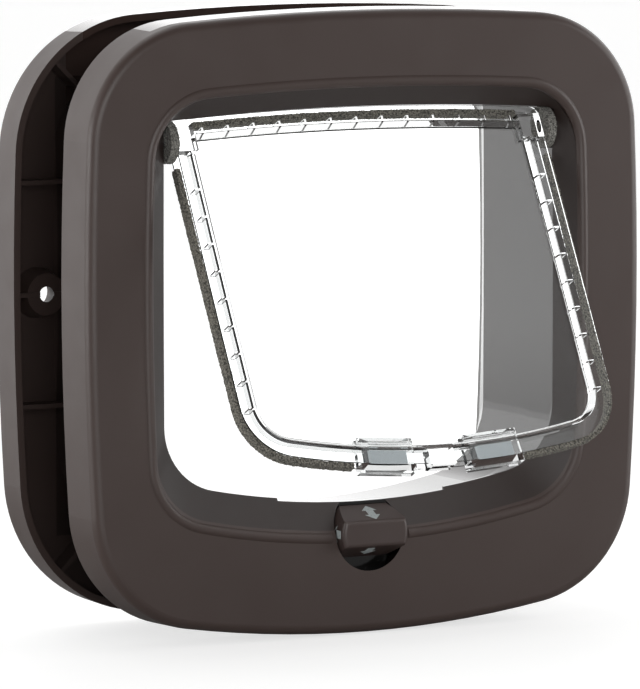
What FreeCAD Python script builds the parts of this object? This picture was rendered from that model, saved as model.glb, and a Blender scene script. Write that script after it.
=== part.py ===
import FreeCAD, Part

import math
import os

# A cat flap for a door: two moulded frames that telescope into each other through the door,
# a clear flap with draught pile and magnets, and a four-way lock turned by a knob in the sill.
# Millimetres. X to the right, Y from the front frame into the door, Z up.
# The origin is midway between the two fixing screws, on the plane where the front frame meets the door.

# Outer outline of both frames
FRAME_WIDTH = 225.0
FRAME_TOP = 102.0
FRAME_BOTTOM = -120.5
WIDEST_Z = 5.0
SIDE_BOW_RADIUS = 1200.0
TOP_BOW_RADIUS = 975.0
BOTTOM_BOW_RADIUS = 445.0
TOP_CORNER_RADIUS = 43.0
BOTTOM_CORNER_RADIUS = 44.5
REAR_INSET = 0.8
REAR_CORNER_RADIUS = 50.0

# Depths along Y
FRONT_DEPTH = 20.0
DOOR_THICKNESS = 39.0
REAR_DEPTH = 16.0

# Mouldings
WALL = 2.5
TUNNEL_WALL = 2.2
RIB = 1.6
DRAFT = 0.5
FRONT_EDGE_RADIUS = 3.5
REAR_EDGE_RADIUS = 2.5
RIDGE_RADIUS = 3.0
REAR_RIDGE_RADIUS = 2.0

# Opening: the flat face ends at the ridge, and a funnel leads from there to the straight throat
SIDE_BAND = 25.0
TOP_BAND = 26.2
SILL_BAND = 35.5
SILL_BOW_RADIUS = 295.0
RIDGE_TOP_CORNER_RADIUS = 24.0
RIDGE_BOTTOM_CORNER_RADIUS = 24.0
RIDGE_BOTTOM_BOW_RADIUS = 320.0
FUNNEL_SIDE = 8.5
FUNNEL_TOP = 8.4
FUNNEL_SILL = 8.0
FUNNEL_DEPTH = 7.0
THROAT_TOP_BOW_RADIUS = 1080.0
THROAT_TOP_CORNER_RADIUS = 4.0
THROAT_BOTTOM_CORNER_RADIUS = 24.0
STRAIGHT = 9000.0
FRONT_TUNNEL_REACH = 5.5
TUNNEL_CLEARANCE = 0.3
REAR_TUNNEL_START = 1.5
REAR_FUNNEL_DEPTH = 14.0
REAR_RIDGE_OUTSET = 0.5
REAR_RIDGE_DROP = 3.5

# Sill lip in front of the flap, lower between the magnets
LIP_HEIGHT = 4.5
LIP_DEPTH = 1.0
LIP_NOTCH_HALF_WIDTH = 34.0
LIP_NOTCH_DROP = 1.0

# Fixing screws, which run from the rear frame through the door into the front frame
FIXING_INSET = 16.5
FIXING_HOLE_RADIUS = 2.75
FIXING_PILOT_RADIUS = 1.8
FIXING_PILOT_DEPTH = 13.0
FIXING_HEAD_RADIUS = 5.5
FIXING_HEAD_DEPTH = 8.0
FRONT_BOSS_RADIUS = 5.0
REAR_BOSS_TIP_WALL = 2.0
REAR_BOSS_ROOT_RADIUS = 9.5
RIB_Z = 40.0
RIB_X = 40.0
CORNER_RIB_ANGLE = 45.0

# Flap, in its own upright position: measured from the pivot axis
PIVOT_Y = -10.0
PIVOT_DROP = 10.4
OPEN_ANGLE = 28.3
FLAP_SIDE_GAP = 4.5
FLAP_TOP_GAP = 0.8
FLAP_SILL_GAP = 2.5
FLAP_TOP_BOW_RADIUS = 1000.0
FLAP_TOP_CORNER_RADIUS = 3.0
FLAP_BOTTOM_CORNER_RADIUS = 20.0
LEAST_CORNER_RADIUS = 2.0
BORDER_WIDTH = 7.6
BORDER_THICKNESS = 6.0
BORDER_BEVEL = 1.8
PANEL_THICKNESS = 2.0
PANEL_SEAT = 0.5
GROOVE_DEPTH = 5.6
GROOVE_WIDTH = 4.4
GROOVE_RIB_PITCH = 10.4
GROOVE_RIB_THICKNESS = 0.8
GROOVE_RIB_HEIGHT = 2.0
GROOVE_RIB_SUNK = 0.3

# Pivots
PIVOT_RADIUS = 2.5
PIVOT_CLEARANCE = 0.06
PIVOT_ENGAGEMENT = 3.8
PIVOT_WEB_HALF = 4.6
PIVOT_SOCKET_WALL = 2.9
DISC_RADIUS = 7.8
DISC_GAP = 0.6
DISC_POCKET_CLEARANCE = 0.5
DISC_POCKET_WALL = 1.6

# Pile strips
PILE_CLEARANCE = 0.1
PILE_SEAT = 3.4
PILE_PROUD = 2.2
TOP_PILE_INSET = 0.9
SIDE_PILE_START = 9.0

# Magnets and their clear clips on the flap
MAGNET_LENGTH = 14.5
MAGNET_HEIGHT = 4.8
MAGNET_WIDTH = 4.2
MAGNET_X = 21.7
CLIP_LENGTH = 21.4
CLIP_THICKNESS = 10.0
CLIP_ABOVE_BORDER = 2.2
CLIP_BELOW_BORDER = 2.5
CLIP_BEVEL = 2.4
CLIP_CLEARANCE = 0.05
CLIP_PILE_GAP = 1.5

# Latch tab on the flap, which the cam of the lock stands behind
TAB_HALF_WIDTH = 5.0
TAB_DROP = 1.0
TAB_CHAMFER = 0.6

# Lock: the axis runs along Y, under the sill
LOCK_DROP = 11.5
RECESS_RADIUS = 13.9
RECESS_WALL = 1.8
RECESS_DEPTH = 6.3
KNOB_CLEARANCE = 0.6
KNOB_PROUD = 4.3
KNOB_GAP = 0.5
KNOB_FRONT_HALF_HEIGHT = 4.4
KNOB_BACK_HALF_HEIGHT = 9.3
KNOB_EDGE_RADIUS = 1.6
KNOB_FACE_WALL = 3.8
SQUARE_SIDE = 4.9
SPINDLE_RADIUS = 3.0
SPINDLE_CLEARANCE = 0.06
SPINDLE_GAP = 0.3
HUB_RADIUS = 7.0
HUB_THICKNESS = 3.0
CAM_RISE = 4.0
CAM_FIN_THICKNESS = 1.5
CAM_HALF_ANGLE = 26.0
DIMPLE_RADIUS = 1.5
DIMPLE_DEPTH = 0.6
KNOB_SCREW_RADIUS = 1.5
KNOB_SCREW_HEAD_RADIUS = 3.0
KNOB_SCREW_HEAD_HEIGHT = 1.8
KNOB_SCREW_LENGTH = 17.0

# Lock housing behind the recess, with the sill magnets in its deck
HOUSING_END_WALL = 3.25
HOUSING_THICKNESS = 6.0
HOUSING_DROP = 13.5
HOUSING_CORNER_RADIUS = 4.0
DECK_DROP = 1.7
DECK_SKIN = 1.0
MAGNET_POCKET_CLEARANCE = 0.1
HOUSING_SCREW_INSET = 6.0
HOUSING_SCREW_DROP = 7.0
HOUSING_SCREW_RADIUS = 1.4
HOUSING_SCREW_HEAD_RADIUS = 3.0
HOUSING_SCREW_HEAD_HEIGHT = 1.8
HOUSING_SCREW_BITE = 5.0
HOUSING_BOSS_RADIUS = 3.6
LEAF_POST_CLEARANCE = 1.8
LEAF_THICKNESS = 0.5
LEAF_WIDTH = 1.3
LEAF_POST_RADIUS = 2.2
LEAF_BUMP_RADIUS = 1.2
LEAF_GAP = 0.15

# Places that follow from the sizes above
RIDGE_HALF_WIDTH = FRAME_WIDTH / 2 - SIDE_BAND
RIDGE_TOP = FRAME_TOP - TOP_BAND
RIDGE_BOTTOM = FRAME_BOTTOM + SILL_BAND
THROAT_HALF_WIDTH = RIDGE_HALF_WIDTH - FUNNEL_SIDE
THROAT_TOP = RIDGE_TOP - FUNNEL_TOP
THROAT_BOTTOM = RIDGE_BOTTOM + FUNNEL_SILL
LIP_TOP = THROAT_BOTTOM + LIP_HEIGHT
FIXING_X = FRAME_WIDTH / 2 - FIXING_INSET
PIVOT_Z = THROAT_TOP - PIVOT_DROP
FLAP_HALF_WIDTH = THROAT_HALF_WIDTH - FLAP_SIDE_GAP
FLAP_ABOVE_PIVOT = PIVOT_DROP - FLAP_TOP_GAP
FLAP_BELOW_PIVOT = PIVOT_Z - LIP_TOP - FLAP_SILL_GAP
FLAP_BOTTOM_BOW_RADIUS = SILL_BOW_RADIUS - FLAP_SILL_GAP
PIVOT_LENGTH = FLAP_SIDE_GAP + PIVOT_ENGAGEMENT
PIVOT_WEB_START = FLAP_HALF_WIDTH - BORDER_WIDTH - 1
DISC_POCKET_RADIUS = DISC_RADIUS + DISC_POCKET_CLEARANCE
SIDE_PILE_END = MAGNET_X + CLIP_LENGTH / 2 + CLIP_PILE_GAP
LOCK_Z = LIP_TOP - LOCK_DROP
FACE_Y = -FRONT_DEPTH
THROAT_Y = FACE_Y + FUNNEL_DEPTH
RECESS_FLOOR_Y = FACE_Y + RECESS_DEPTH
KNOB_RADIUS = RECESS_RADIUS - KNOB_CLEARANCE
KNOB_FRONT_Y = FACE_Y - KNOB_PROUD
SQUARE_FRONT_Y = KNOB_FRONT_Y + KNOB_FACE_WALL
CAM_RADIUS = LOCK_DROP + CAM_RISE
HOUSING_HALF_WIDTH = MAGNET_X + MAGNET_LENGTH / 2 + HOUSING_END_WALL
HOUSING_FRONT_Y = RECESS_FLOOR_Y + RECESS_WALL + MAGNET_POCKET_CLEARANCE
HOUSING_BACK_Y = HOUSING_FRONT_Y + HOUSING_THICKNESS
HOUSING_BOTTOM = LOCK_Z - HOUSING_DROP
DECK_TOP = LIP_TOP - DECK_DROP
HOUSING_SCREW_X = HOUSING_HALF_WIDTH - HOUSING_SCREW_INSET
HOUSING_SCREW_Z = LOCK_Z - HOUSING_SCREW_DROP
LEAF_HALF_LENGTH = HOUSING_SCREW_X - HOUSING_SCREW_HEAD_RADIUS - LEAF_POST_CLEARANCE - LEAF_POST_RADIUS
REAR_RIM_Y = DOOR_THICKNESS
REAR_FACE_Y = DOOR_THICKNESS + REAR_DEPTH
REAR_THROAT_Y = REAR_FACE_Y - REAR_FUNNEL_DEPTH
BEYOND = 2.0


def vec(x, y, z):
    return FreeCAD.Vector(x, y, z)


# A closed outline of eight arcs, each tangent to the next, in a plane of constant Y
class Outline:
    def __init__(
        self, half_width, top, bottom, middle, side_r, top_r, bottom_r, top_corner_r, bottom_corner_r
    ):
        self.half_width = half_width
        self.top = top
        self.bottom = bottom
        self.middle = middle
        self.side_r = side_r
        self.top_r = top_r
        self.bottom_r = bottom_r
        self.top_corner_r = top_corner_r
        self.bottom_corner_r = bottom_corner_r

    def grown(self, by):
        return Outline(
            self.half_width + by,
            self.top + by,
            self.bottom - by,
            self.middle,
            self.side_r + by,
            self.top_r + by,
            self.bottom_r + by,
            max(self.top_corner_r + by, LEAST_CORNER_RADIUS),
            max(self.bottom_corner_r + by, LEAST_CORNER_RADIUS),
        )

    # Height of the bowed top at a distance from the middle
    def top_at(self, x):
        return self.top - self.top_r + math.sqrt(self.top_r ** 2 - x ** 2)

    # Where one corner arc meets the side arc and the cap arc, and its own middle point
    def corner(self, rise, cap_r, corner_r):
        side_c = vec(self.half_width - self.side_r, 0, 0)
        cap_c = vec(0, 0, rise - cap_r)
        to_side = self.side_r - corner_r
        to_cap = cap_r - corner_r
        between = cap_c - side_c
        span = between.Length
        along = (to_side ** 2 - to_cap ** 2 + span ** 2) / (2 * span)
        off = math.sqrt(to_side ** 2 - along ** 2)
        unit = between * (1 / span)
        across = vec(-unit.z, 0, unit.x) * off
        crossings = [side_c + unit * along + across, side_c + unit * along - across]
        centre = max(crossings, key=lambda point: point.x + point.z)
        on_side = side_c + (centre - side_c) * (self.side_r / to_side)
        on_cap = cap_c + (centre - cap_c) * (cap_r / to_cap)
        middle = (on_side - centre) + (on_cap - centre)
        on_corner = centre + middle * (corner_r / middle.Length)
        return on_side, on_corner, on_cap

    def wire(self, y):
        side_t, corner_t, cap_t = self.corner(self.top - self.middle, self.top_r, self.top_corner_r)
        side_b, corner_b, cap_b = self.corner(
            self.middle - self.bottom, self.bottom_r, self.bottom_corner_r
        )

        def place(point, flip_x, flip_z):
            return vec(point.x * flip_x, y, self.middle + point.z * flip_z)

        arcs = [
            (place(side_b, 1, -1), vec(self.half_width, y, self.middle), place(side_t, 1, 1)),
            (place(side_t, 1, 1), place(corner_t, 1, 1), place(cap_t, 1, 1)),
            (place(cap_t, 1, 1), vec(0, y, self.top), place(cap_t, -1, 1)),
            (place(cap_t, -1, 1), place(corner_t, -1, 1), place(side_t, -1, 1)),
            (place(side_t, -1, 1), vec(-self.half_width, y, self.middle), place(side_b, -1, -1)),
            (place(side_b, -1, -1), place(corner_b, -1, -1), place(cap_b, -1, -1)),
            (place(cap_b, -1, -1), vec(0, y, self.bottom), place(cap_b, 1, -1)),
            (place(cap_b, 1, -1), place(corner_b, 1, -1), place(side_b, 1, -1)),
        ]
        return Part.Wire([Part.Arc(a, b, c).toShape() for a, b, c in arcs])

    def prism(self, y0, y1):
        return Part.Face(self.wire(y0)).extrude(vec(0, y1 - y0, 0))


def loft(first, y0, second, y1):
    return Part.makeLoft([first.wire(y0), second.wire(y1)], True, True)


def box(x0, x1, y0, y1, z0, z1):
    return Part.makeBox(x1 - x0, y1 - y0, z1 - z0, vec(x0, y0, z0))


def rod_y(x, z, y0, y1, radius):
    return Part.makeCylinder(radius, y1 - y0, vec(x, y0, z), vec(0, 1, 0))


def rod_x(x0, x1, y, z, radius):
    return Part.makeCylinder(radius, x1 - x0, vec(x0, y, z), vec(1, 0, 0))


def mirrored(shape):
    return shape.mirror(vec(0, 0, 0), vec(1, 0, 0))


def both_sides(shape):
    return [shape, mirrored(shape)]


def joined(shapes):
    return shapes[0].multiFuse(shapes[1:]).removeSplitter()


# Rounds the edges of a solid that lie in the plane of constant Y, or only those inside an outline
def round_edges(solid, y, radius, inside=None):
    edges = []
    for edge in solid.Edges:
        bound = edge.BoundBox
        in_plane = abs(bound.YMin - y) < 0.01 and abs(bound.YMax - y) < 0.01
        in_outline = inside is None or (
            abs(bound.Center.x) < inside.half_width + 1
            and inside.bottom - 1 < bound.Center.z < inside.top + 1
        )
        if in_plane and in_outline:
            edges.append(edge)
    return solid.makeFillet(radius, edges)


FRAME = Outline(
    FRAME_WIDTH / 2, FRAME_TOP, FRAME_BOTTOM, WIDEST_Z,
    SIDE_BOW_RADIUS, TOP_BOW_RADIUS, BOTTOM_BOW_RADIUS, TOP_CORNER_RADIUS, BOTTOM_CORNER_RADIUS,
)
REAR_OUTER = Outline(
    FRAME_WIDTH / 2 - REAR_INSET, FRAME_TOP - REAR_INSET, FRAME_BOTTOM + REAR_INSET, WIDEST_Z,
    SIDE_BOW_RADIUS, TOP_BOW_RADIUS, BOTTOM_BOW_RADIUS, REAR_CORNER_RADIUS, REAR_CORNER_RADIUS,
)
RIDGE = Outline(
    RIDGE_HALF_WIDTH, RIDGE_TOP, RIDGE_BOTTOM, WIDEST_Z,
    SIDE_BOW_RADIUS, TOP_BOW_RADIUS, RIDGE_BOTTOM_BOW_RADIUS,
    RIDGE_TOP_CORNER_RADIUS, RIDGE_BOTTOM_CORNER_RADIUS,
)
REAR_RIDGE = Outline(
    RIDGE_HALF_WIDTH + REAR_RIDGE_OUTSET, RIDGE_TOP + REAR_RIDGE_OUTSET, RIDGE_BOTTOM - REAR_RIDGE_DROP,
    WIDEST_Z,
    SIDE_BOW_RADIUS, TOP_BOW_RADIUS, RIDGE_BOTTOM_BOW_RADIUS,
    RIDGE_TOP_CORNER_RADIUS, RIDGE_BOTTOM_CORNER_RADIUS,
)


# The throat, whose floor lies lower than its front lip
def throat_outline(bottom):
    return Outline(
        THROAT_HALF_WIDTH, THROAT_TOP, bottom, 0,
        STRAIGHT, THROAT_TOP_BOW_RADIUS, SILL_BOW_RADIUS,
        THROAT_TOP_CORNER_RADIUS, THROAT_BOTTOM_CORNER_RADIUS,
    )


THROAT = throat_outline(THROAT_BOTTOM)
LIP = throat_outline(LIP_TOP)
LIP_NOTCH = throat_outline(LIP_TOP - LIP_NOTCH_DROP)
REAR_THROAT = THROAT.grown(TUNNEL_WALL + TUNNEL_CLEARANCE)
FLAP = Outline(
    FLAP_HALF_WIDTH, FLAP_ABOVE_PIVOT, -FLAP_BELOW_PIVOT, -FLAP_BELOW_PIVOT / 2,
    STRAIGHT, FLAP_TOP_BOW_RADIUS, FLAP_BOTTOM_BOW_RADIUS,
    FLAP_TOP_CORNER_RADIUS, FLAP_BOTTOM_CORNER_RADIUS,
)


# Ribs that tie the outer wall of a frame to the wall of its opening, from y0 to y1
def frame_ribs(outer, y0, y1):
    reach = FRAME_WIDTH / 2
    ribs = [
        box(-reach, reach, y0, y1, z - RIB / 2, z + RIB / 2) for z in (-RIB_Z, 0, RIB_Z)
    ]
    ribs += [
        box(x - RIB / 2, x + RIB / 2, y0, y1, FRAME_BOTTOM, FRAME_TOP) for x in (-RIB_X, RIB_X)
    ]
    for angle in (CORNER_RIB_ANGLE, 180 - CORNER_RIB_ANGLE):
        arm = box(-2 * reach, 2 * reach, y0, y1, -RIB / 2, RIB / 2)
        arm.rotate(vec(0, 0, 0), vec(0, 1, 0), angle)
        arm.translate(vec(0, 0, (FRAME_TOP + FRAME_BOTTOM) / 2))
        ribs.append(arm)
    return joined(ribs).common(outer.grown(-WALL / 2).prism(y0, y1))


# Front frame

def front_tunnel_core():
    funnel = loft(RIDGE.grown(WALL), FACE_Y, THROAT.grown(TUNNEL_WALL), THROAT_Y)
    tunnel = THROAT.grown(TUNNEL_WALL).prism(THROAT_Y, FRONT_TUNNEL_REACH)
    return [funnel, tunnel]


def front_opening():
    funnel = loft(RIDGE, FACE_Y, LIP, THROAT_Y)
    lip = LIP.prism(THROAT_Y, THROAT_Y + LIP_DEPTH)
    tunnel = THROAT.prism(THROAT_Y + LIP_DEPTH, FRONT_TUNNEL_REACH + BEYOND)
    notch = LIP_NOTCH.prism(THROAT_Y - LIP_DEPTH, THROAT_Y + LIP_DEPTH).common(
        box(
            -LIP_NOTCH_HALF_WIDTH, LIP_NOTCH_HALF_WIDTH,
            THROAT_Y - 2 * LIP_DEPTH, THROAT_Y + 2 * LIP_DEPTH,
            THROAT_BOTTOM, 0,
        )
    )
    return [funnel, lip, tunnel, notch]


# The middle of the wall round the front opening, where the ribs end
def front_wall_middle():
    funnel = loft(RIDGE.grown(WALL / 2), FACE_Y, THROAT.grown(TUNNEL_WALL / 2), THROAT_Y)
    tunnel = THROAT.grown(TUNNEL_WALL / 2).prism(THROAT_Y, BEYOND)
    return [funnel, tunnel]


def fixing_bosses(y0, y1, radius):
    return both_sides(rod_y(FIXING_X, 0, y0, y1, radius))


# Round blocks behind the wall of the opening, each with a pocket for a pile disc and a pivot bore
def pivot_sockets():
    outer = THROAT_HALF_WIDTH + PIVOT_SOCKET_WALL + TUNNEL_WALL
    radius = DISC_POCKET_RADIUS + DISC_POCKET_WALL
    block = rod_x(FLAP_HALF_WIDTH, outer, PIVOT_Y, PIVOT_Z, radius)
    return both_sides(block.cut(front_wall_middle()))


def disc_pockets():
    return both_sides(
        rod_x(FLAP_HALF_WIDTH, THROAT_HALF_WIDTH, PIVOT_Y, PIVOT_Z, DISC_POCKET_RADIUS)
    )


def pivot_bores():
    end = FLAP_HALF_WIDTH + PIVOT_LENGTH + DISC_GAP
    radius = PIVOT_RADIUS + PIVOT_CLEARANCE
    return both_sides(rod_x(THROAT_HALF_WIDTH - BEYOND, end, PIVOT_Y, PIVOT_Z, radius))


# The floor of the tunnel is open for the lock housing and, behind it, for the turning cam
def floor_openings():
    gap = TUNNEL_CLEARANCE
    cam_back = HOUSING_BACK_Y + SPINDLE_GAP + HUB_THICKNESS + gap
    deck = box(
        -HOUSING_HALF_WIDTH - gap, HOUSING_HALF_WIDTH + gap,
        HOUSING_FRONT_Y - gap, HOUSING_BACK_Y + gap,
        THROAT_BOTTOM - TUNNEL_WALL - BEYOND, LIP_TOP,
    )
    cam = box(
        -CAM_RADIUS - gap, CAM_RADIUS + gap,
        HOUSING_BACK_Y, cam_back,
        THROAT_BOTTOM - TUNNEL_WALL - BEYOND, LIP_TOP,
    )
    return [deck, cam]


def housing_bosses(y0, y1, radius):
    return both_sides(rod_y(HOUSING_SCREW_X, HOUSING_SCREW_Z, y0, y1, radius))


def front_frame():
    shell = round_edges(loft(FRAME, 0, FRAME.grown(-DRAFT), FACE_Y), FACE_Y, FRONT_EDGE_RADIUS)
    cavity = loft(FRAME.grown(-WALL), BEYOND, FRAME.grown(-WALL - DRAFT), FACE_Y + WALL)
    core = front_tunnel_core()
    shell = round_edges(shell.cut(front_opening()), FACE_Y, RIDGE_RADIUS, RIDGE)
    skin = shell.cut(cavity.cut(core))
    inside = FACE_Y + WALL / 2
    ribs = frame_ribs(FRAME, inside, -WALL).cut(front_wall_middle())
    recess_cup = rod_y(0, LOCK_Z, inside, RECESS_FLOOR_Y + RECESS_WALL, RECESS_RADIUS + RECESS_WALL)
    recess_cup = recess_cup.cut(front_wall_middle())
    clear_of_lock = box(
        -HOUSING_HALF_WIDTH - WALL, HOUSING_HALF_WIDTH + WALL,
        RECESS_FLOOR_Y + RECESS_WALL, 0,
        HOUSING_BOTTOM - WALL, THROAT_BOTTOM - TUNNEL_WALL,
    )
    ribs = ribs.cut(clear_of_lock)
    collar = THROAT.grown(TUNNEL_WALL).prism(THROAT_Y, FRONT_TUNNEL_REACH)
    body = [skin, ribs, recess_cup, collar]
    body += fixing_bosses(inside, 0, FRONT_BOSS_RADIUS)
    body += housing_bosses(inside, HOUSING_FRONT_Y, HOUSING_BOSS_RADIUS)
    body += pivot_sockets()
    solid = joined(body)
    cuts = front_opening()[1:] + disc_pockets() + pivot_bores() + floor_openings()
    cuts += fixing_bosses(-FIXING_PILOT_DEPTH, BEYOND, FIXING_PILOT_RADIUS)
    cuts += housing_bosses(HOUSING_FRONT_Y - HOUSING_SCREW_BITE, HOUSING_FRONT_Y, HOUSING_SCREW_RADIUS)
    cuts.append(rod_y(0, LOCK_Z, FACE_Y - BEYOND, RECESS_FLOOR_Y, RECESS_RADIUS))
    cuts.append(rod_y(0, LOCK_Z, RECESS_FLOOR_Y - 1, HOUSING_FRONT_Y, SPINDLE_RADIUS + SPINDLE_GAP))
    return solid.cut(cuts)


# Rear frame

def rear_frame():
    shell = round_edges(
        loft(REAR_OUTER, REAR_RIM_Y, REAR_OUTER.grown(-DRAFT), REAR_FACE_Y), REAR_FACE_Y, REAR_EDGE_RADIUS
    )
    cavity = loft(
        REAR_OUTER.grown(-WALL), REAR_RIM_Y - BEYOND,
        REAR_OUTER.grown(-WALL - DRAFT), REAR_FACE_Y - WALL,
    )
    inside = REAR_FACE_Y - WALL / 2
    funnel = loft(REAR_THROAT.grown(TUNNEL_WALL), REAR_THROAT_Y, REAR_RIDGE.grown(WALL), REAR_FACE_Y)
    flare = loft(REAR_THROAT, REAR_THROAT_Y, REAR_RIDGE, REAR_FACE_Y)
    shell = round_edges(shell.cut(flare), REAR_FACE_Y, REAR_RIDGE_RADIUS, REAR_RIDGE)
    skin = shell.cut(cavity.cut(funnel))
    tunnel = REAR_THROAT.grown(TUNNEL_WALL).prism(REAR_TUNNEL_START, REAR_THROAT_Y)
    wall_middle = loft(
        REAR_THROAT.grown(TUNNEL_WALL / 2), REAR_THROAT_Y, REAR_RIDGE.grown(WALL / 2), REAR_FACE_Y
    )
    tunnel_middle = REAR_THROAT.grown(TUNNEL_WALL / 2).prism(REAR_RIM_Y, REAR_THROAT_Y)
    ribs = frame_ribs(REAR_OUTER, REAR_RIM_Y + 2 * WALL, inside).cut([wall_middle, tunnel_middle])
    boss_front = REAR_FACE_Y - FIXING_HEAD_DEPTH - WALL
    boss = Part.makeCone(
        FIXING_HEAD_RADIUS + REAR_BOSS_TIP_WALL, REAR_BOSS_ROOT_RADIUS, inside - boss_front,
        vec(FIXING_X, boss_front, 0), vec(0, 1, 0),
    )
    bosses = [side.cut(wall_middle) for side in both_sides(boss)]
    solid = joined([skin, ribs, tunnel] + bosses)
    cuts = [REAR_THROAT.prism(REAR_TUNNEL_START - BEYOND, REAR_THROAT_Y)]
    cuts += fixing_bosses(REAR_FACE_Y - FIXING_HEAD_DEPTH, REAR_FACE_Y + BEYOND, FIXING_HEAD_RADIUS)
    cuts += fixing_bosses(boss_front - BEYOND, REAR_FACE_Y, FIXING_HOLE_RADIUS)
    return solid.cut(cuts)


# Flap, built upright about its pivot axis and then swung open

def swung(shape):
    turned = shape.copy()
    turned.rotate(vec(0, 0, 0), vec(1, 0, 0), -OPEN_ANGLE)
    turned.translate(vec(0, PIVOT_Y, PIVOT_Z))
    return turned


def border_window():
    window = FLAP.grown(-BORDER_WIDTH)
    wide = window.grown(BORDER_BEVEL)
    half = BORDER_THICKNESS / 2
    inner = half - BORDER_BEVEL
    return [
        loft(wide, -half, window, -inner),
        window.prism(-inner, inner),
        loft(window, inner, wide, half),
    ]


def groove_ribs():
    half = GROOVE_WIDTH / 2 + GROOVE_RIB_SUNK
    root = GROOVE_DEPTH + GROOVE_RIB_SUNK
    tip = GROOVE_DEPTH - GROOVE_RIB_HEIGHT
    thick = GROOVE_RIB_THICKNESS / 2
    ribs = []
    top_count = int((PIVOT_WEB_START - GROOVE_RIB_THICKNESS) / GROOVE_RIB_PITCH)
    for i in range(-top_count, top_count + 1):
        x = i * GROOVE_RIB_PITCH
        edge = FLAP.top_at(x)
        ribs.append(box(x - thick, x + thick, -half, half, edge - root, edge - tip))
    first = -SIDE_PILE_START - GROOVE_RIB_PITCH
    side_count = int((FLAP_BELOW_PIVOT - FLAP_BOTTOM_CORNER_RADIUS + first) / GROOVE_RIB_PITCH)
    for i in range(side_count + 1):
        z = first - i * GROOVE_RIB_PITCH
        side = box(FLAP_HALF_WIDTH - root, FLAP_HALF_WIDTH - tip, -half, half, z - thick, z + thick)
        ribs += both_sides(side)
    return ribs


def flap_panel():
    half = BORDER_THICKNESS / 2
    border = FLAP.prism(-half, half).cut(border_window())
    groove = FLAP.grown(BEYOND).prism(-GROOVE_WIDTH / 2, GROOVE_WIDTH / 2).cut(
        FLAP.grown(-GROOVE_DEPTH).prism(-half, half)
    )
    border = border.cut(groove)
    sheet = FLAP.grown(-GROOVE_DEPTH - PANEL_SEAT).prism(-PANEL_THICKNESS / 2, PANEL_THICKNESS / 2)
    pivot_web = box(
        PIVOT_WEB_START, FLAP_HALF_WIDTH, -half, half, -PIVOT_WEB_HALF, PIVOT_WEB_HALF
    )
    pivot = rod_x(FLAP_HALF_WIDTH - 1, FLAP_HALF_WIDTH + PIVOT_LENGTH, 0, 0, PIVOT_RADIUS)
    bottom = -FLAP_BELOW_PIVOT
    tab = box(-TAB_HALF_WIDTH, TAB_HALF_WIDTH, -half, half, bottom - TAB_DROP, bottom + GROOVE_DEPTH + 1)
    tip_edges = [e for e in tab.Edges if e.BoundBox.ZMax < bottom - TAB_DROP + 0.01]
    tab = tab.makeChamfer(TAB_CHAMFER, tip_edges)
    pieces = [border, sheet, tab] + groove_ribs()
    pieces += both_sides(pivot_web) + both_sides(pivot)
    return swung(joined(pieces))


# A ring of the flap's edge between two insets, cut to a box
def edge_strip(outset, inset, thickness, region):
    half = thickness / 2
    ring = FLAP.grown(outset).prism(-half, half).cut(FLAP.grown(-inset).prism(-thickness, thickness))
    return ring.common(region)


def top_pile():
    half_length = PIVOT_WEB_START - PILE_CLEARANCE
    region = box(-half_length, half_length, -BEYOND * 2, BEYOND * 2, 0, FLAP_ABOVE_PIVOT)
    width = GROOVE_WIDTH - 2 * PILE_CLEARANCE
    return swung(edge_strip(-TOP_PILE_INSET, PILE_SEAT, width, region))


def side_pile():
    deep = FLAP_BELOW_PIVOT + 2 * PILE_PROUD
    wide = FLAP_HALF_WIDTH + 2 * PILE_PROUD
    region = box(SIDE_PILE_END, wide, -BEYOND * 2, BEYOND * 2, -deep, -SIDE_PILE_START)
    width = GROOVE_WIDTH - 2 * PILE_CLEARANCE
    return edge_strip(PILE_PROUD, PILE_SEAT, width, region)


def pivot_disc():
    x0 = FLAP_HALF_WIDTH + PILE_CLEARANCE
    x1 = THROAT_HALF_WIDTH - DISC_GAP
    disc = rod_x(x0, x1, 0, 0, DISC_RADIUS)
    return disc.cut(rod_x(x0 - 1, x1 + 1, 0, 0, PIVOT_RADIUS + PILE_CLEARANCE))


# Moves a shape from the middle of the flap's bottom edge along its bow to the magnet's place
def along_bow(shape):
    centre = vec(0, 0, FLAP_BOTTOM_BOW_RADIUS - FLAP_BELOW_PIVOT)
    shape.rotate(centre, vec(0, 1, 0), -math.degrees(MAGNET_X / FLAP_BOTTOM_BOW_RADIUS))
    return shape


def flap_magnet():
    half_x = MAGNET_LENGTH / 2
    half_y = MAGNET_WIDTH / 2
    bottom = -FLAP_BELOW_PIVOT + PILE_CLEARANCE
    return along_bow(box(-half_x, half_x, -half_y, half_y, bottom, bottom + MAGNET_HEIGHT))


# A clear clip that wraps the bottom bar and shuts the magnet in its groove
def magnet_clip():
    half_x = CLIP_LENGTH / 2
    half_y = CLIP_THICKNESS / 2
    bottom = -FLAP_BELOW_PIVOT - CLIP_BELOW_BORDER
    top = -FLAP_BELOW_PIVOT + BORDER_WIDTH + CLIP_ABOVE_BORDER
    block = box(-half_x, half_x, -half_y, half_y, bottom, top)
    along = [e for e in block.Edges if e.BoundBox.XLength > CLIP_LENGTH - 0.1]
    upright = [e for e in block.Edges if e.BoundBox.ZLength > half_y]
    block = along_bow(block.makeChamfer(CLIP_BEVEL, along + upright))
    grown = FLAP.grown(CLIP_CLEARANCE)
    border = grown.prism(-BORDER_THICKNESS / 2 - CLIP_CLEARANCE, BORDER_THICKNESS / 2 + CLIP_CLEARANCE)
    border = border.cut(FLAP.grown(-BORDER_WIDTH - CLIP_CLEARANCE).prism(-half_y, half_y))
    sheet = FLAP.prism(-PANEL_THICKNESS / 2 - CLIP_CLEARANCE, PANEL_THICKNESS / 2 + CLIP_CLEARANCE)
    return block.cut([border, sheet])


# Lock

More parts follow.
